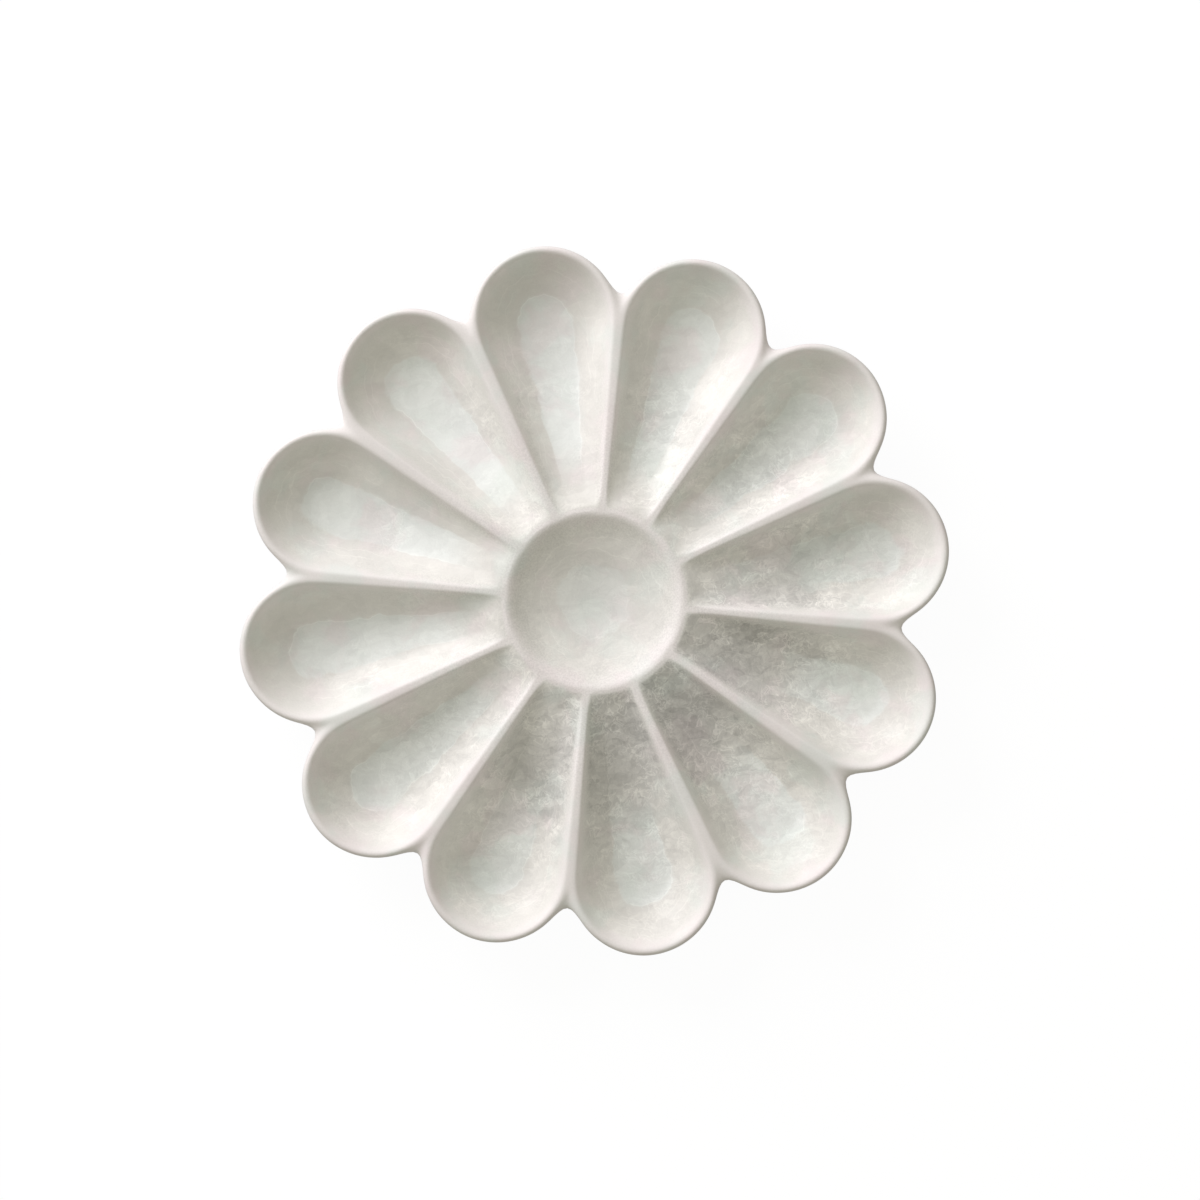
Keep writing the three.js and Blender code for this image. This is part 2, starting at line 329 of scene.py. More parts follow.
def crestCorner(k):
    onRim = abs(k) < petal["notchCorner"]
    share = petal["rimCrestShare"] if onRim else petal["crestShare"]
    place = wellCorner("lip", k).lerp(borderCorner(k), share)
    lift = petal["crestLift"] if onRim else petal["ridgeLift"]
    place.z = crestHeight(hypot(place.x, place.y)) + lift
    return place


def edgeCorner(k, inset, drop):
    corner = borderCorner(k)
    side = -1 if k < 0 else 1
    if abs(k) < petal["notchCorner"]:
        inward = Vector((endCentre - corner.x, -corner.y, 0)).normalized()
    else:
        inward = Vector((-cos(halfPetal), -side * sin(halfPetal), 0))
    corner += inward * inset
    corner.z = crestHeight(hypot(corner.x, corner.y)) - drop
    return corner


def backHeight(x, y):
    radius = hypot(x, y)
    if radius < wellStart:
        swelling = dish["sauceDepth"] + dish["floorWall"] - dish["ridgeWall"]
        inward = 1 - radius / (dish["sauceRadius"] + dish["sauceBossMargin"])
        return dish["ringHeight"] - dish["ridgeWall"] - swelling * climb(inward, *dish["bossClimb"])
    inward = 1 - teardropSize(radius, x, y) / (endRadius - dish["petalBossInset"])
    swelling = dish["wellDepth"] + dish["floorWall"] - dish["ridgeWall"]
    depth = fluteDepth(radius) / dish["wellDepth"]
    toEdge = endRadius - hypot(x - endCentre, y) if x > endCentre else endRadius
    wall = lerp(dish["edgeWall"], dish["ridgeWall"], smooth(toEdge / dish["edgeRun"]))
    return crestHeight(radius) - wall - swelling * depth * climb(inward, *dish["bossClimb"])


def backCorner(k, share):
    outline = borderCorner(k)
    angle = atan2(outline.y, outline.x)
    radius = lerp(hypot(outline.x, outline.y), footOutside, share)
    x, y = radius * cos(angle), radius * sin(angle)
    return Vector((x, y, backHeight(x, y)))


def recessCorner(k, radius):
    outline = borderCorner(k)
    angle = atan2(outline.y, outline.x)
    x, y = radius * cos(angle), radius * sin(angle)
    return Vector((x, y, backHeight(x, y)))


def moveCorner(obj, index, target):
    bpy.ops.mesh.select_all(action="DESELECT")
    mesh = bmesh.from_edit_mesh(obj.data)
    mesh.verts.ensure_lookup_table()
    corner = mesh.verts[index]
    corner.select = True
    bmesh.update_edit_mesh(obj.data)
    bpy.ops.transform.translate(value=target - corner.co)


# a row holds the indices of its corners in order, and its edges are pulled out to the targets
def extrudeRow(obj, row, targets, materialIndex, closed=False):
    bpy.ops.mesh.select_all(action="DESELECT")
    mesh = bmesh.from_edit_mesh(obj.data)
    mesh.verts.ensure_lookup_table()
    pairs = list(zip(row, row[1:])) + ([(row[-1], row[0])] if closed else [])
    for a, b in pairs:
        edge = mesh.edges.get((mesh.verts[a], mesh.verts[b]))
        edge.select = True
    bmesh.update_edit_mesh(obj.data)
    before = len(mesh.verts)
    facesBefore = len(mesh.faces)
    bpy.ops.mesh.extrude_edges_move()
    mesh = bmesh.from_edit_mesh(obj.data)
    mesh.verts.ensure_lookup_table()
    mesh.faces.ensure_lookup_table()
    for face in mesh.faces[facesBefore:]:
        face.material_index = materialIndex
    fresh = list(range(before, len(mesh.verts)))
    newRow = []
    for old in row:
        place = mesh.verts[old].co
        nearest = min(fresh, key=lambda i: (mesh.verts[i].co - place).length_squared)
        fresh.remove(nearest)
        newRow.append(nearest)
    for index, target in zip(newRow, targets):
        moveCorner(obj, index, target)
    return newRow


def makeSlice():
    deselectAll()
    bpy.ops.mesh.primitive_circle_add(
        vertices=petal["corners"], radius=lipRadius, location=(endCentre, 0, dish["rimHeight"])
    )
    obj = bpy.context.object
    obj.name = "dish_cage"
    bpy.ops.object.transform_apply(location=True, rotation=True, scale=True)
    bpy.ops.object.mode_set(mode="EDIT")
    half = petal["corners"] // 2
    allRound = list(range(1 - half, half + 1))
    mesh = bmesh.from_edit_mesh(obj.data)
    turns = {round(atan2(v.co.y, v.co.x - endCentre) / step): v.index for v in mesh.verts}
    turns[half] = turns.get(half, turns.get(-half))
    lip = [turns[k] for k in allRound]
    for k, index in zip(allRound, lip):
        moveCorner(obj, index, wellCorner("lip", k))

    # inwards to the well's axis
    row = lip
    for name in list(wellRows)[1:]:
        if name == "axis":
            inner = [max(abs(k), 1) if abs(k) < half - 1 else half - 1 for k in allRound]
            targets = [wellCorner(name, k) for k in inner]
            for target in targets:
                target.y = 0
        else:
            targets = [wellCorner(name, k) for k in allRound]
        row = extrudeRow(obj, row, targets, faceIndex, closed=True)

    # outwards over the crest to the outline, the ridges and the ring
    crest = extrudeRow(obj, lip, [crestCorner(k) for k in allRound], faceIndex, closed=True)
    border = extrudeRow(obj, crest, [borderCorner(k) for k in allRound], faceIndex, closed=True)
    at = dict(zip(allRound, border))

    # the part of the sauce well
    across = [2 - half, 1 - half, half, half - 1, half - 2]
    turnsAcross = [-halfPetal, -halfPetal / 2, 0, halfPetal / 2, halfPetal]
    row = [at[k] for k in across]
    for share, depth in sauceRows:
        radius = share * dish["sauceRadius"] * ringBow
        z = crestHeight(0) - depth * dish["sauceDepth"]
        targets = [Vector((radius * cos(a), radius * sin(a), z)) for a in turnsAcross]
        row = extrudeRow(obj, row, targets, faceIndex)

    # down the outer edge and in over the back
    notch = petal["notchCorner"]
    outline = list(range(-notch, notch + 1))
    row = [at[k] for k in outline]
    for inset, drop in edgeRows:
        row = extrudeRow(obj, row, [edgeCorner(k, inset, drop) for k in outline], faceIndex)
    row = extrudeRow(obj, row, [edgeCorner(k, *backRimRow) for k in outline], petalsIndex)
    for share in backShares:
        row = extrudeRow(obj, row, [backCorner(k, share) for k in outline], petalsIndex)
    row = extrudeRow(obj, row, [recessCorner(k, footInside) for k in outline], seatIndex)
    for radius in recessRadii:
        row = extrudeRow(obj, row, [recessCorner(k, radius) for k in outline], recessIndex)
    bpy.ops.mesh.select_all(action="SELECT")
    bpy.ops.mesh.remove_doubles(threshold=dish["weldDistance"])
    return obj


def makeClay():
    obj = makeSlice()
    print("slice drawn:", len(bmesh.from_edit_mesh(obj.data).verts), "corners")
    others = dish["petals"] - 1
    bpy.ops.mesh.select_all(action="SELECT")
    bpy.ops.mesh.spin(
        steps=others, dupli=True, angle=2 * pi * others / dish["petals"],
        center=(0, 0, 0), axis=(0, 0, 1),
    )
    bpy.ops.mesh.select_all(action="SELECT")
    bpy.ops.mesh.remove_doubles(threshold=dish["weldDistance"])
    bpy.ops.mesh.normals_make_consistent(inside=False)
    bpy.ops.object.mode_set(mode="OBJECT")
    levels = dish["smoothing"]
    applyModifier(obj, "SUBSURF", levels=levels, render_levels=levels)
    bpy.ops.object.shade_smooth()
    return obj


def waver(obj, size, height, seedPlace):  # the slight unevenness of a hand-finished piece
    texture = bpy.data.textures.new("waver", "CLOUDS")
    texture.noise_scale = size
    anchor = bpy.data.objects.new("waver_place", None)
    bpy.context.scene.collection.objects.link(anchor)
    anchor.location = seedPlace
    bpy.context.view_layer.update()
    applyModifier(
        obj, "DISPLACE", texture=texture, texture_coords="OBJECT", texture_coords_object=anchor,
        direction="NORMAL", strength=height, mid_level=0.5,
    )
    bpy.data.objects.remove(anchor)


def fitTo(obj, reach, height):
    low, high = Vector(obj.bound_box[0]), Vector(obj.bound_box[6])
    plan = reach / max(-low.x, -low.y, high.x, high.y)
    toEditMode(obj)
    bpy.ops.mesh.select_all(action="SELECT")
    bpy.ops.transform.resize(value=(plan, plan, height / high.z), center_override=(0, 0, 0))
    bpy.ops.object.mode_set(mode="OBJECT")


clayLook = {
    "waverSize": 46 * mm,
    "waverHeight": 0.5 * mm,
    "waverPlace": (0.31, 0.12, 0.07),
    "clearance": 0.02 * mm,       # by which it stays inside the solid's box
}

clay = makeClay()
clay.name = "clay_body"
waver(clay, clayLook["waverSize"], clayLook["waverHeight"], clayLook["waverPlace"])
fitTo(clay, dish["reach"] - clayLook["clearance"], dish["rimHeight"] - clayLook["clearance"])
print("clay body:", len(clay.data.vertices), "corners")


# glaze: the clay's surface moved out, cut into the three areas that the foot and the rim part

glaze = {
    "thin": 0.3 * mm,             # on the crests and on the back
    "pooled": 1 * mm,             # on the floors of the wells
}


def duplicate(obj, name):
    makeActive(obj)
    bpy.ops.object.duplicate()
    copy = bpy.context.object
    copy.name = name
    return copy


def inOnePetal(place):      # the same place on the first petal's left half
    radius, turn = hypot(place.x, place.y), 2 * halfPetal
    angle = (atan2(place.y, place.x) + halfPetal) % turn - halfPetal
    return radius * cos(angle), abs(radius * sin(angle))


def wellShare(place):  # 0 on the crests, rim and back, 1 on the floors
    radius = hypot(place.x, place.y)
    if radius < dish["sauceRadius"]:
        return min(max((dish["ringHeight"] - place.z) / dish["sauceDepth"], 0), 1)
    if teardropSize(radius, *inOnePetal(place)) > lipRadius:
        return 0
    return min(max((crestHeight(radius) - place.z) / dish["wellDepth"], 0), 1)


def makeGlazeSurface():
    surface = duplicate(clay, "glaze_surface")
    faceCorners = {
        i for face in surface.data.polygons if face.material_index == faceIndex for i in face.vertices
    }
    group = surface.vertex_groups.new(name="thickness")
    thin = glaze["thin"] / glaze["pooled"]
    for corner in surface.data.vertices:
        share = smooth(wellShare(corner.co)) if corner.index in faceCorners else 0
        group.add([corner.index], lerp(thin, 1, share), "REPLACE")
    applyModifier(
        surface, "DISPLACE", direction="NORMAL", strength=glaze["pooled"], mid_level=0,
        vertex_group="thickness",
    )
    surface.vertex_groups.clear()
    return surface


def cutOut(source, name, materialIndex):
    piece = duplicate(source, name)
    toEditMode(piece)
    bpy.ops.mesh.select_mode(type="FACE")
    bpy.ops.mesh.select_all(action="DESELECT")
    mesh = bmesh.from_edit_mesh(piece.data)
    for face in mesh.faces:
        face.select = face.material_index != materialIndex
    bmesh.update_edit_mesh(piece.data)
    bpy.ops.mesh.delete(type="FACE")
    bpy.ops.object.mode_set(mode="OBJECT")
    return piece


def bridgeRims(obj, isHere):  # joins the two open rims whose corners lie where isHere says
    toEditMode(obj)
    selectEdges(obj, lambda edge: edge.is_boundary and isHere(radiusOf(edge)))
    bpy.ops.mesh.bridge_edge_loops()
    bpy.ops.object.mode_set(mode="OBJECT")


def isFoot(radius):
    return radius < (footOutside + notchRadius) / 2


def isEdge(radius):
    return not isFoot(radius)


def makeCoat(name, materialIndex, rims):
    outer = cutOut(glazeSurface, name, materialIndex)
    inner = cutOut(clay, name + "_inner", materialIndex)
    toEditMode(inner)
    bpy.ops.mesh.select_all(action="SELECT")
    bpy.ops.mesh.flip_normals()
    bpy.ops.object.mode_set(mode="OBJECT")
    makeActive(outer)
    inner.select_set(True)
    bpy.ops.object.join()
    for isHere in rims:
        bridgeRims(outer, isHere)
    toEditMode(outer)
    bpy.ops.mesh.select_all(action="SELECT")
    bpy.ops.mesh.normals_make_consistent(inside=False)
    bpy.ops.object.mode_set(mode="OBJECT")
    bpy.ops.object.shade_smooth()
    return outer


glazeSurface = makeGlazeSurface()
topGlaze = makeCoat("face_glaze", faceIndex, [isEdge])
undersideGlaze = makeCoat("petal_back_glaze", petalsIndex, [isEdge, isFoot])
recessGlaze = makeCoat("foot_inside_glaze", recessIndex, [isFoot])
bpy.data.objects.remove(glazeSurface)
print("glaze laid:", [len(o.data.vertices) for o in (topGlaze, undersideGlaze, recessGlaze)])


# foot ring: the strip of the back where it is luted, drawn down to a flat land on the table

foot = {
    "landWidth": 5.4 * mm,
    "cornerRadius": 1.1 * mm,
    "cornerSteps": 4,
    "sideFoot": (0.5, 2),         # where a side meets that corner: out and up, in radii of the corner
    "smoothAngle": radians(40),
}


def makeFoot():
    obj = cutOut(clay, "foot_ring_clay", seatIndex)
    toEditMode(obj)
    corner = foot["cornerRadius"]
    out, up = foot["sideFoot"]
    for side in (-1, 1):
        landEdge = footRadius + side * foot["landWidth"] / 2
        now, level = (footOutside if side > 0 else footInside), 0
        rows = [(landEdge + side * out * corner, up * corner)]
        for i in range(foot["cornerSteps"] + 1):
            turn = pi / 2 * i / foot["cornerSteps"]
            rows.append((landEdge - side * corner * (1 - cos(turn)), corner * (1 - sin(turn))))
        for number, (radius, height) in enumerate(rows):
            selectEdges(obj, lambda edge: edge.is_boundary and (radiusOf(edge) - footRadius) * side > 0)
            bpy.ops.mesh.extrude_edges_move()
            if number == 0:                # the first row is brought level before it is set
                bpy.ops.transform.resize(value=(1, 1, 0), center_override=(0, 0, 0))
            bpy.ops.transform.resize(value=(radius / now, radius / now, 1), center_override=(0, 0, 0))
            bpy.ops.transform.translate(value=(0, 0, height - level))
            now, level = radius, height
    selectEdges(obj, lambda edge: edge.is_boundary)
    bpy.ops.mesh.bridge_edge_loops()
    bpy.ops.mesh.select_all(action="SELECT")
    bpy.ops.mesh.normals_make_consistent(inside=False)
    bpy.ops.object.mode_set(mode="OBJECT")
    bpy.ops.object.shade_smooth_by_angle(angle=foot["smoothAngle"])
    return obj


footRing = makeFoot()
print("foot ring:", len(footRing.data.vertices), "corners")


# finishes, made of nodes that read each piece's own coordinates and the marks on the face glaze

def feed(tree, socket, value):      # links a socket, or sets a plain value
    if isinstance(value, bpy.types.NodeSocket):
        tree.links.new(value, socket)
    elif isinstance(value, tuple) and socket.type == "RGBA":
        socket.default_value = (*value, 1)
    else:
        socket.default_value = value


def calc(tree, operation, *values, clamp=False):
    node = tree.nodes.new("ShaderNodeMath")
    node.operation, node.use_clamp = operation, clamp
    for socket, value in zip(node.inputs, values):
        feed(tree, socket, value)
    return node.outputs[0]


def total(tree, *parts):
    result = parts[0]
    for part in parts[1:]:
        result = calc(tree, "ADD", result, part)
    return result


def product(tree, *parts):
    result = parts[0]
    for part in parts[1:]:
        result = calc(tree, "MULTIPLY", result, part)
    return result


def opposite(tree, value):
    return calc(tree, "SUBTRACT", 1.0, value)


def rise(tree, value, low, high):   # 0 below low, 1 above high, smooth between
    node = tree.nodes.new("ShaderNodeMapRange")
    node.interpolation_type = "SMOOTHSTEP"
    for name, given in (("Value", value), ("From Min", low), ("From Max", high)):
        feed(tree, node.inputs[name], given)
    return node.outputs["Result"]


def lineAt(tree, value, level, width):   # 1 where the value crosses the level
    off = calc(tree, "ABSOLUTE", calc(tree, "SUBTRACT", value, level))
    return opposite(tree, rise(tree, off, 0.0, width))


def mixColours(tree, share, first, second):
    node = tree.nodes.new("ShaderNodeMix")
    node.data_type = "RGBA"
    for index, value in ((0, share), (6, first), (7, second)):
        feed(tree, node.inputs[index], value)
    return node.outputs[2]


def vectors(tree, operation, first, second=None, scale=None):
    node = tree.nodes.new("ShaderNodeVectorMath")
    node.operation = operation
    feed(tree, node.inputs[0], first)
    if second is not None:
        feed(tree, node.inputs[1], second)
    if scale is not None:
        feed(tree, node.inputs["Scale"], scale)
    return node.outputs[0]


def ownPlace(tree):
    return tree.nodes.new("ShaderNodeTexCoord").outputs["Object"]


def moved(tree, place, shift, stretch=(1, 1, 1), turn=0):
    node = tree.nodes.new("ShaderNodeMapping")
    feed(tree, node.inputs["Vector"], place)
    node.inputs["Location"].default_value = shift
    node.inputs["Rotation"].default_value = (0, 0, turn)
    node.inputs["Scale"].default_value = stretch
    return node.outputs["Vector"]


def cloudNode(tree, place, size, detail, distortion):
    node = tree.nodes.new("ShaderNodeTexNoise")
    feed(tree, node.inputs["Vector"], place)
    feed(tree, node.inputs["Scale"], 1 / size)
    feed(tree, node.inputs["Detail"], detail)
    feed(tree, node.inputs["Distortion"], distortion)
    return node


def clouds(tree, place, size, detail=2.0, distortion=0.0):
    return cloudNode(tree, place, size, detail, distortion).outputs["Fac"]


def partly(tree, mask, inside, always):     # a 0 to 1 mask that keeps a part everywhere
    return calc(tree, "MULTIPLY_ADD", mask, inside, always)


def swing(tree, value, reach):      # a 0 to 1 pattern as a change of -reach to +reach
    return calc(tree, "MULTIPLY_ADD", value, 2.0 * reach, -reach)


def warped(tree, place, size, reach, detail=2.0):
    colour = cloudNode(tree, place, size, detail, 0.0).outputs["Color"]
    offset = vectors(tree, "SUBTRACT", colour, (0.5, 0.5, 0.5))
    return vectors(tree, "ADD", place, vectors(tree, "SCALE", offset, scale=2 * reach))


# how strong each flake is, 0 to 1, where clear keeps the weakest at 0
def flakes(tree, place, size, softness, clear):
    shade = tree.nodes.new("ShaderNodeTexVoronoi")
    edge = tree.nodes.new("ShaderNodeTexVoronoi")
    edge.feature = "DISTANCE_TO_EDGE"
    for node in (shade, edge):
        feed(tree, node.inputs["Vector"], place)
        feed(tree, node.inputs["Scale"], 1 / size)
    split = tree.nodes.new("ShaderNodeSeparateColor")
    feed(tree, split.inputs["Color"], shade.outputs["Color"])
    strength = calc(tree, "MULTIPLY_ADD", split.outputs["Red"], 1 + clear, -clear, clamp=True)
    return product(tree, strength, rise(tree, edge.outputs["Distance"], 0.0, softness))


def newFinish(name):
    material = bpy.data.materials.new(name)
    material.use_nodes = True
    tree = material.node_tree
    return material, tree, tree.nodes["Principled BSDF"]


def raiseSurface(tree, shader, height, depth):   # height in shares of the depth
    bump = tree.nodes.new("ShaderNodeBump")
    bump.inputs["Distance"].default_value = depth
    feed(tree, bump.inputs["Height"], height)
    feed(tree, shader.inputs["Normal"], bump.outputs["Normal"])


def dress(obj, material, slotName, *nodes):
    obj.data.materials.clear()
    obj.data.materials.append(material)
    obj.data.polygons.foreach_set("material_index", [0] * len(obj.data.polygons))
    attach(obj, "root")
    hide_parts(*nodes)


# the mottled glaze of the face: thin and warm on crests, cool where it pooled, with layers that
# ran and set over each other; with painted shade on the side turned away from the key light and
# painted light on the side facing it, towards the hub, and painted shade where walls meet floors

faceLook = {
    "crestColour": (0.86, 0.83, 0.81),
    "wallColour": (0.79, 0.78, 0.74),
    "floorColour": (0.83, 0.86, 0.835),
    "blushColour": (0.83, 0.76, 0.76),
    "celadonColour": (0.75, 0.81, 0.765),
    "tintShare": 0.45,
    "tintSizes": (24 * mm, 28 * mm),
    "tintRange": (0.5, 0.66),
    "tintPlaces": ((0.7, 0, 0), (0, 0.9, 0)),
    # places as shares of the way from a well's axis to its lip, also over a short run at the hub
    "hubRun": 11 * mm,
    "crestRange": (0.86, 1.02),
    "wellRange": (0.8, 0.98),
    "frostRange": (0.66, 0.92),
    "frostParts": (0.8, 0.2),    # at the hub only, and everywhere
    "floorEdge": 0.42,
    "floorEdgeWidth": 0.03,
    "floorFade": 0.16,           # how far the pool's paleness dies away on each side of that edge
    "crispShare": 0.65,          # the part of it that ends at the edge
    "saucePool": 0.6,
    "hubNarrowing": 0.04,
    "wallLines": (0.62, 0.74),
    "waveSizes": (17 * mm, 5 * mm),
    "waveReaches": (0.13, 0.05),
    # places as distances from the dish's middle
    "sauceRange": (40 * mm, 46 * mm),
    "hubRange": (60 * mm, 125 * mm),
    "floorStart": (55 * mm, 82 * mm),
    "outerRange": (100 * mm, 150 * mm),
    # where the fire marked the glaze most: one side of the dish, patches, less in the round ends;
    # that side is the one turned away from the key light, where painted shade is laid as well
    "markedLean": 0.45,
    "markedRange": (-0.09, 0.11),
    "markedParts": (0.65, 0.35),
    "paintedShadeRange": (0.01, 0.07),   # painted shade: darker towards the hub on the marked side, turned away from the key light
    "paintedShadeReach": (65 * mm, 135 * mm),
    "paintedShadeTone": -0.3,
    "poolGoneInPaintedShade": (0.1, 0.6),      # over which strength of the painted shade the pool's paler colour gives way
    "paintedLightRange": (0, 0.08),      # painted light: paler towards the hub on the other side, which faces the key light
    "paintedLightTone": 0.03,
    "outerTone": 0.03,
    "patchSize": 45 * mm,
    "patchRange": (0.38, 0.62),
    "patchPlace": (0.3, 0.1, 0),
    "outerShare": 0.25,
    "sauceCalm": 0.75,
    # how the layers ran
    "flowSize": 16 * mm,
    "flowReach": 5 * mm,
    "curlSize": 7 * mm,
    "curlReach": 6 * mm,
    # tones, as shares of the colour
    "cloudSizes": (30 * mm, 8 * mm),
    "cloudTones": (0.035, 0.02),
    "cloudPlaces": ((0, 0, 0.2), (0.05, 0, 0.2)),
    "flakeSizes": (12 * mm, 8 * mm, 5 * mm),
    "flakeTones": (0.14, -0.14, 0.12),
    "flakeTurns": (0.5, 1.7, 2.9),
    "flakeStretch": (1, 2.1, 1),
    "flakePlaces": ((0, 0.03, 0), (0.1, 0.03, 0), (0.2, 0.03, 0)),
    "flakeSoftness": 0.05,
    "flakeClear": 0.7,           # the higher, the more flakes don't show
    "flakeParts": (0.85, 0.15),  # where the glaze is marked, and everywhere
    "sheetSize": 36 * mm,
    "sheetTone": 0.03,
    "sheetLevels": (0.38, 0.47, 0.56),
    "sheetEdge": 0.01,
    "sheetCurl": 0.6,
    "sheetPlace": (0.2, 0.4, 0),
    "hairSize": 7 * mm,
    "hairTone": 0.26,
    "hairLevels": ((0.5, 0.04), (0.6, 0.03)),
    "hairCurl": (5 * mm, 3 * mm),
    "hairPatches": (12 * mm, 0.42, 0.55),
    "hairPlace": (0.8, 0.2, 0),
    "hairParts": (0.85, 0.08),
    "fibreSize": 1.4 * mm,
    "fibreStretch": (1, 0.28, 1),
    "fibrePlace": (0, 0.5, 0.1),
    "fibreTurn": 0.9,
    "fibreTone": 0.2,
    "lineTone": 0.11,
    "lineWidth": 0.012,
    "wallLineShare": 0.7,        # of that tone, for the lines up on the wall
    "brokenSize": 28 * mm,
    "brokenRange": (0.42, 0.6),
    "brokenPlace": (0, 0.6, 0),
    # painted shade in the crease at the foot of the walls
    "paintedCreaseShadeTone": 0.02,
    "grainSize": 0.9 * mm,
    "grainTone": 0.22,
    "grainParts": (0.85, 0.12),
    "fineDetail": 3,
    # surface
    "roughness": 0.5,
    "roughnessSwing": 0.08,
    "flakeGloss": -1.2,
    "specular": 0.25,
    "unevenSize": 9 * mm,
    "unevenPlace": (0.4, 0.4, 0),
    "unevenHeight": 0.25,
    "grainHeight": 0.4,
    "bumpDepth": 0.25 * mm,
}


def markFace(obj):      # how far each corner lies from its well's axis, 1 and more on the crests
    shares = []
    for corner in obj.data.vertices:
        radius = hypot(corner.co.x, corner.co.y)
        if radius < ringCrest:
            shares.append(radius / dish["sauceRadius"])
            continue
        toLip = teardropSize(radius, *inOnePetal(corner.co)) / lipRadius
        toHub = 1 - (radius - wellStart) / faceLook["hubRun"]
        shares.append(max(toLip, toHub))
    marks = obj.data.attributes.new("fromAxis", "FLOAT", "POINT")
    marks.data.foreach_set("value", shares)


def faceAreas(tree, place, look):       # masks for the parts of the face, 0 to 1, and for the painted shade and painted light on its two sides
    marks = tree.nodes.new("ShaderNodeAttribute")
    marks.attribute_name = "fromAxis"
    fromAxis = marks.outputs["Fac"]
    waves = [
        swing(tree, clouds(tree, place, size), reach)
        for size, reach in zip(look["waveSizes"], look["waveReaches"])
    ]
    wavy = total(tree, fromAxis, *waves)
    split = tree.nodes.new("ShaderNodeSeparateXYZ")
    feed(tree, split.inputs["Vector"], place)
    x, y = split.outputs["X"], split.outputs["Y"]
    radius = calc(tree, "SQRT", total(tree, product(tree, x, x), product(tree, y, y)))
    inSauce = opposite(tree, rise(tree, radius, *look["sauceRange"]))
    nearHub = opposite(tree, rise(tree, radius, *look["hubRange"]))
    hubEnd = calc(tree, "SUBTRACT", nearHub, inSauce, clamp=True)
    narrowed = calc(tree, "MULTIPLY_ADD", hubEnd, look["hubNarrowing"], wavy)
    saucePool = product(tree, inSauce, look["saucePool"])
    floorHere = total(tree, saucePool, rise(tree, radius, *look["floorStart"]))
    edge, width = look["floorEdge"], look["floorEdgeWidth"]
    fade, crisp = look["floorFade"], look["crispShare"]
    onFloor = total(
        tree,
        product(tree, opposite(tree, rise(tree, narrowed, edge - width, edge + width)), crisp),
        product(tree, opposite(tree, rise(tree, narrowed, edge - fade, edge + fade)), 1 - crisp),
    )

    lean = calc(tree, "SUBTRACT", product(tree, x, look["markedLean"]), y)
    otherLean = product(tree, lean, -1)
    patches = clouds(tree, moved(tree, place, look["patchPlace"]), look["patchSize"])
    sidePart, patchPart = look["markedParts"]
    marked = total(
        tree,
        product(tree, rise(tree, lean, *look["markedRange"]), sidePart),
        product(tree, rise(tree, patches, *look["patchRange"]), patchPart),
    )
    # painted shade towards the hub on the side turned away from the key light; where it lies, the pool's
    # paler colour is taken away
    innerPart = opposite(tree, rise(tree, radius, *look["paintedShadeReach"]))
    innerPart = product(tree, innerPart, opposite(tree, inSauce))
    paintedShade = product(tree, rise(tree, lean, *look["paintedShadeRange"]), innerPart)
    poolOutsidePaintedShade = opposite(tree, rise(tree, paintedShade, *look["poolGoneInPaintedShade"]))
    outer = rise(tree, radius, *look["outerRange"])
    calm = total(
        tree,
        product(tree, outer, 1 - look["outerShare"]),
        product(tree, inSauce, look["sauceCalm"]),
    )
    frost = rise(tree, fromAxis, *look["frostRange"])
    frost = product(tree, frost, partly(tree, nearHub, *look["frostParts"]))
    return {
        "wavy": wavy,
        "narrowed": narrowed,
        "floorHere": floorHere,
        "onFloor": product(tree, onFloor, floorHere, poolOutsidePaintedShade),
        "onCrest": rise(tree, wavy, *look["crestRange"]),
        "inWell": opposite(tree, rise(tree, fromAxis, *look["wellRange"])),
        "marked": product(tree, marked, opposite(tree, calm)),
        "paintedShade": paintedShade,
        "paintedLight": product(tree, rise(tree, otherLean, *look["paintedLightRange"]), innerPart),
        "outer": outer,
        "frost": frost,
    }


def tideLinesAndPaintedCreaseShade(tree, place, look, areas):    # thin pale lines round the floors, and painted shade in a band outside, where the wall meets the floor
    broken = clouds(tree, moved(tree, place, look["brokenPlace"]), look["brokenSize"])
    broken = rise(tree, broken, *look["brokenRange"])
    edge, width, wallLines = look["floorEdge"], look["lineWidth"], look["wallLines"]
    floorLine = lineAt(tree, areas["narrowed"], edge - width, width)
    upperLine = total(tree, *[lineAt(tree, areas["wavy"], level, width) for level in wallLines])
    # painted shade where the wall meets the floor
    paintedCreaseShade = product(
        tree,
        rise(tree, areas["narrowed"], edge, edge + look["floorEdgeWidth"]),
        opposite(tree, rise(tree, areas["narrowed"], edge + look["floorEdgeWidth"], wallLines[0])),
    )
    return total(
        tree,
        product(tree, floorLine, look["lineTone"], broken, areas["floorHere"]),
        product(tree, upperLine, look["lineTone"] * look["wallLineShare"], opposite(tree, broken)),
        product(tree, paintedCreaseShade, -look["paintedCreaseShadeTone"], areas["floorHere"]),
    )


def flakeTones(tree, flowing, look):
    tones = []
    layers = zip(look["flakeSizes"], look["flakeTones"], look["flakePlaces"], look["flakeTurns"])
    for size, tone, shift, turn in layers:
        here = moved(tree, flowing, shift, look["flakeStretch"], turn)
        strength = flakes(tree, here, size, look["flakeSoftness"], look["flakeClear"])
        tones.append(product(tree, strength, tone))
    return total(tree, *tones)


def hairMask(tree, place, flowing, look):
    field = clouds(tree, warped(tree, flowing, *look["hairCurl"]), look["hairSize"])
    lines = total(tree, *[lineAt(tree, field, level, width) for level, width in look["hairLevels"]])
    size, low, high = look["hairPatches"]
    patches = clouds(tree, moved(tree, place, look["hairPlace"]), size)
    return product(tree, lines, rise(tree, patches, low, high))


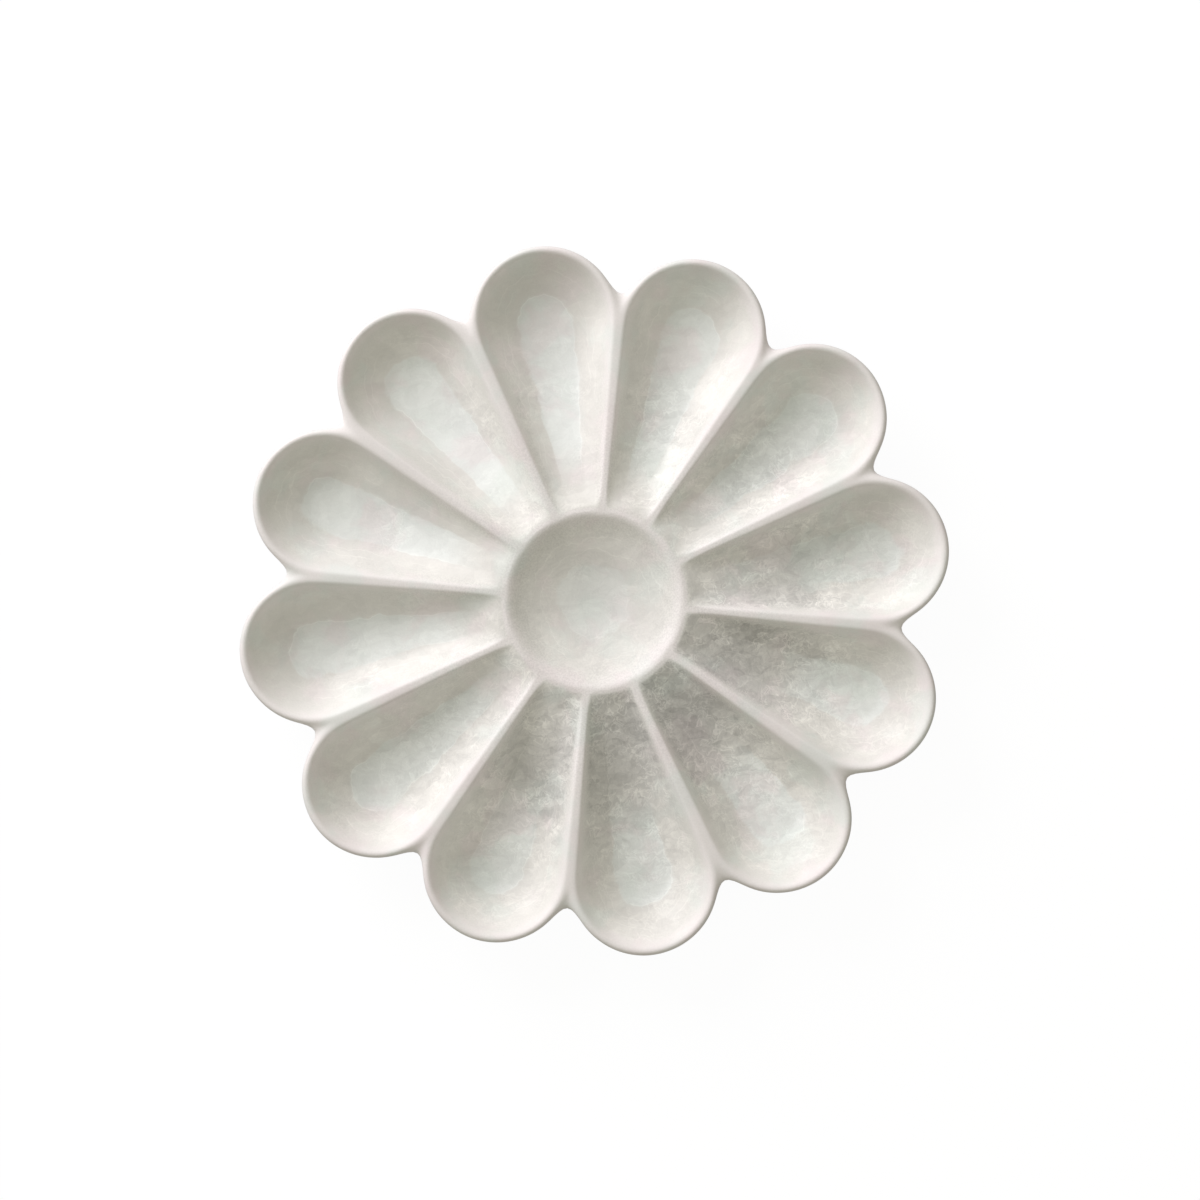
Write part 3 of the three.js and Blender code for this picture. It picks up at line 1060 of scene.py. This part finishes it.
def makeFaceGlaze():
    look = faceLook
    material, tree, shader = newFinish("mottled_face_glaze_with_painted_light_and_shade")
    place = ownPlace(tree)
    areas = faceAreas(tree, place, look)
    inWell, marked = areas["inWell"], areas["marked"]
    flowing = warped(tree, place, look["flowSize"], look["flowReach"])
    fine = look["fineDetail"]

    # tones, as changes of 1
    cloudTone = total(tree, *[
        swing(tree, clouds(tree, moved(tree, place, shift), size, fine), tone)
        for shift, size, tone in zip(look["cloudPlaces"], look["cloudSizes"], look["cloudTones"])
    ])
    flakeHere = product(tree, inWell, partly(tree, marked, *look["flakeParts"]))
    flakeTone = product(tree, flakeTones(tree, flowing, look), flakeHere)
    here = moved(tree, flowing, look["sheetPlace"])
    sheet = clouds(tree, here, look["sheetSize"], distortion=look["sheetCurl"])
    levels, width = look["sheetLevels"], look["sheetEdge"]
    sheets = total(tree, *[rise(tree, sheet, level, level + width) for level in levels])
    aboveMiddle = calc(tree, "SUBTRACT", sheets, len(levels) / 2)
    sheetTone = product(tree, aboveMiddle, -look["sheetTone"], inWell)
    hairHere = product(tree, inWell, partly(tree, marked, *look["hairParts"]))
    hairTone = product(tree, hairMask(tree, place, flowing, look), look["hairTone"], hairHere)
    curled = warped(tree, place, look["curlSize"], look["curlReach"])
    curled = moved(tree, curled, look["fibrePlace"], look["fibreStretch"], look["fibreTurn"])
    fibres = clouds(tree, curled, look["fibreSize"], fine)
    fibreTone = product(tree, swing(tree, fibres, look["fibreTone"]), flakeHere)
    grain = swing(tree, clouds(tree, place, look["grainSize"], fine), look["grainTone"])
    grainTone = product(tree, grain, partly(tree, areas["frost"], *look["grainParts"]))
    tidesAndPaintedCreaseShade = tideLinesAndPaintedCreaseShade(tree, place, look, areas)
    # painted shade and painted light, by the side of the dish that the key light falls on
    paintedSideShading = total(
        tree,
        product(tree, areas["paintedShade"], look["paintedShadeTone"], inWell),
        product(tree, areas["paintedLight"], look["paintedLightTone"], inWell),
    )
    outerTone = product(tree, areas["outer"], look["outerTone"], inWell)
    patterns = total(tree, cloudTone, flakeTone, sheetTone, hairTone, fibreTone, tidesAndPaintedCreaseShade, grainTone)
    tone = total(tree, 1.0, patterns, paintedSideShading, outerTone)

    # colour
    colour = mixColours(tree, areas["onFloor"], look["wallColour"], look["floorColour"])
    colour = mixColours(tree, areas["onCrest"], colour, look["crestColour"])
    tintNames = ("blushColour", "celadonColour")
    for shift, size, name in zip(look["tintPlaces"], look["tintSizes"], tintNames):
        tint = rise(tree, clouds(tree, moved(tree, flowing, shift), size, fine), *look["tintRange"])
        colour = mixColours(tree, product(tree, tint, look["tintShare"]), colour, look[name])
    feed(tree, shader.inputs["Base Color"], vectors(tree, "SCALE", colour, scale=tone))

    uneven = clouds(tree, moved(tree, place, look["unevenPlace"]), look["unevenSize"], fine)
    roughness = total(
        tree,
        look["roughness"],
        swing(tree, uneven, look["roughnessSwing"]),
        product(tree, flakeTone, look["flakeGloss"]),
    )
    feed(tree, shader.inputs["Roughness"], roughness)
    shader.inputs["Specular IOR Level"].default_value = look["specular"]
    height = total(
        tree,
        product(tree, uneven, look["unevenHeight"]),
        product(tree, grain, look["grainHeight"]),
    )
    raiseSurface(tree, shader, height, look["bumpDepth"])
    return material


# the plain glaze of the back: even, with soft clouds and a few iron specks

backLook = {
    "colour": (0.8, 0.79, 0.75),
    "cloudColour": (0.83, 0.825, 0.8),
    "speckColour": (0.36, 0.27, 0.19),
    "cloudSize": 26 * mm,
    "cloudRange": (0.35, 0.65),
    "cloudDetail": 4,
    "rippleSize": 5 * mm,
    "rippleDetail": 3,
    "rippleTone": 0.03,
    "rippleHeight": 0.4,
    "specks": (9 * mm, 0.07),    # size of the cells that hold one each, and its reach in the cell
    "speckShare": 0.55,          # of its colour in the middle
    "roughness": 0.34,
    "roughnessSwing": 0.06,
    "bumpDepth": 0.12 * mm,
}

speckCore = 0.4          # of a speck's reach, where it is full


def specks(tree, place, size, reach):
    node = tree.nodes.new("ShaderNodeTexVoronoi")
    feed(tree, node.inputs["Vector"], place)
    feed(tree, node.inputs["Scale"], 1 / size)
    return opposite(tree, rise(tree, node.outputs["Distance"], reach * speckCore, reach))


def makeBackGlaze():
    look = backLook
    material, tree, shader = newFinish("plain_back_glaze")
    place = ownPlace(tree)
    cloud = clouds(tree, place, look["cloudSize"], look["cloudDetail"])
    ripple = clouds(tree, place, look["rippleSize"], look["rippleDetail"])
    colour = mixColours(tree, rise(tree, cloud, *look["cloudRange"]), look["colour"], look["cloudColour"])
    iron = product(tree, specks(tree, place, *look["specks"]), look["speckShare"])
    colour = mixColours(tree, iron, colour, look["speckColour"])
    tone = total(tree, 1.0, swing(tree, ripple, look["rippleTone"]))
    feed(tree, shader.inputs["Base Color"], vectors(tree, "SCALE", colour, scale=tone))
    roughness = total(tree, look["roughness"], swing(tree, cloud, look["roughnessSwing"]))
    feed(tree, shader.inputs["Roughness"], roughness)
    height = total(tree, cloud, product(tree, ripple, look["rippleHeight"]))
    raiseSurface(tree, shader, height, look["bumpDepth"])
    return material


# fired clay: sandy, with grog and iron specks, wiped smoother on the foot

def makeClayFinish(look):
    material, tree, shader = newFinish(look["name"])
    place = ownPlace(tree)
    sand = clouds(tree, place, look["sandSize"], look["sandDetail"])
    cloud = clouds(tree, place, look["cloudSize"], look["cloudDetail"])
    colour = mixColours(tree, rise(tree, cloud, *look["cloudRange"]), look["colour"], look["warmColour"])
    grog = specks(tree, moved(tree, place, look["grogPlace"]), *look["grog"])
    iron = specks(tree, place, *look["iron"])
    colour = mixColours(tree, product(tree, grog, look["grogShare"]), colour, look["grogColour"])
    colour = mixColours(tree, product(tree, iron, look["ironShare"]), colour, look["ironColour"])
    tone = total(tree, 1.0, swing(tree, sand, look["sandTone"]))
    feed(tree, shader.inputs["Base Color"], vectors(tree, "SCALE", colour, scale=tone))
    roughness = total(tree, look["roughness"], swing(tree, sand, look["roughnessSwing"]))
    feed(tree, shader.inputs["Roughness"], roughness)
    height = total(tree, sand, product(tree, grog, look["grogHeight"]))
    raiseSurface(tree, shader, height, look["bumpDepth"])
    return material


bodyLook = {
    "name": "fired_stoneware",
    "colour": (0.56, 0.5, 0.42),
    "warmColour": (0.6, 0.53, 0.43),
    "grogColour": (0.72, 0.67, 0.58),
    "ironColour": (0.2, 0.13, 0.08),
    "sandSize": 0.8 * mm,
    "sandDetail": 4,
    "sandTone": 0.1,
    "cloudSize": 22 * mm,
    "cloudDetail": 3,
    "cloudRange": (0.3, 0.7),
    "grog": (3.2 * mm, 0.16),    # as the back glaze's specks
    "grogPlace": (0.3, 0, 0),
    "grogShare": 0.35,
    "grogHeight": 0.3,
    "iron": (4.5 * mm, 0.1),
    "ironShare": 0.6,
    "roughness": 0.82,
    "roughnessSwing": 0.08,
    "bumpDepth": 0.15 * mm,
}

footLook = {
    **bodyLook,
    "name": "wiped_stoneware_foot",
    "colour": (0.6, 0.53, 0.44),
    "warmColour": (0.55, 0.46, 0.36),
    "sandTone": 0.07,
    "roughness": 0.72,
    "bumpDepth": 0.08 * mm,
}

markFace(topGlaze)
backGlaze = makeBackGlaze()
dress(clay, makeClayFinish(bodyLook), "stoneware", "stoneware_body")
dress(footRing, makeClayFinish(footLook), "foot_stoneware", "foot_ring")
dress(topGlaze, makeFaceGlaze(), "face_glaze", "top_glaze")
dress(undersideGlaze, backGlaze, "back_glaze", "underside_glaze")
dress(recessGlaze, backGlaze, "back_glaze", "foot_recess_glaze")
print("finishes on")


# studio: a large soft light from the upper left, even pale surroundings and a white floor

studio = {
    "keyAzimuth": radians(120),
    "keyElevation": radians(27),
    "keyDistance": 2.6,
    "keySize": 1.6,
    "keyLevel": 0.875,           # light on a surface square to it, where 1 shows a white as white
    "keyColour": (1.01, 0.98, 1.04),
    "fillLevel": 0.428,
    "fillColour": (1, 0.975, 0.86),
    "floorSize": 6,
    "floorColour": (0.5, 0.5, 0.5),
    "floorRoughness": 0.9,
    "floorWhiteShare": 0.88,     # of what the camera sees of the floor, the rest is lit and shaded
    "floorWhite": 1.09,
}


def addKeyLight():
    data = bpy.data.lights.new("key", "AREA")
    data.shape = "DISK"
    data.size = studio["keySize"]
    distance = studio["keyDistance"]
    data.energy = studio["keyLevel"] * pi * distance * distance * pi
    data.color = studio["keyColour"]
    lamp = bpy.data.objects.new("key", data)
    bpy.context.scene.collection.objects.link(lamp)
    azimuth, elevation = studio["keyAzimuth"], studio["keyElevation"]
    away = Vector((cos(azimuth) * cos(elevation), sin(azimuth) * cos(elevation), sin(elevation)))
    lamp.location = away * distance
    lamp.rotation_euler = away.to_track_quat("Z", "Y").to_euler()


def addSurroundings():
    world = bpy.data.worlds.new("surroundings")
    bpy.context.scene.world = world
    world.use_nodes = True
    nodes, links = world.node_tree.nodes, world.node_tree.links
    fill = nodes["Background"]
    fill.inputs["Color"].default_value = (*studio["fillColour"], 1)
    fill.inputs["Strength"].default_value = studio["fillLevel"]
    white = nodes.new("ShaderNodeBackground")
    white.inputs["Color"].default_value = (1, 1, 1, 1)
    path = nodes.new("ShaderNodeLightPath")
    mixer = nodes.new("ShaderNodeMixShader")
    links.new(path.outputs["Is Camera Ray"], mixer.inputs["Fac"])
    links.new(fill.outputs["Background"], mixer.inputs[1])
    links.new(white.outputs["Background"], mixer.inputs[2])
    links.new(mixer.outputs["Shader"], nodes["World Output"].inputs["Surface"])


def addFloor():
    deselectAll()
    bpy.ops.mesh.primitive_plane_add(size=studio["floorSize"], location=(0, 0, 0))
    floor = bpy.context.object
    floor.name = "floor"
    material = bpy.data.materials.new("floor")
    material.use_nodes = True
    nodes, links = material.node_tree.nodes, material.node_tree.links
    surface = nodes["Principled BSDF"]
    surface.inputs["Base Color"].default_value = (*studio["floorColour"], 1)
    surface.inputs["Roughness"].default_value = studio["floorRoughness"]
    white = nodes.new("ShaderNodeEmission")
    white.inputs["Strength"].default_value = studio["floorWhite"]
    path = nodes.new("ShaderNodeLightPath")
    share = nodes.new("ShaderNodeMath")
    share.operation = "MULTIPLY"
    share.inputs[1].default_value = studio["floorWhiteShare"]
    mixer = nodes.new("ShaderNodeMixShader")
    links.new(path.outputs["Is Camera Ray"], share.inputs[0])
    links.new(share.outputs["Value"], mixer.inputs["Fac"])
    links.new(surface.outputs["BSDF"], mixer.inputs[1])
    links.new(white.outputs["Emission"], mixer.inputs[2])
    links.new(mixer.outputs["Shader"], nodes["Material Output"].inputs["Surface"])
    floor.data.materials.append(material)


addKeyLight()
addSurroundings()
addFloor()
bpy.context.scene.view_settings.view_transform = "Standard"
print("studio lit")
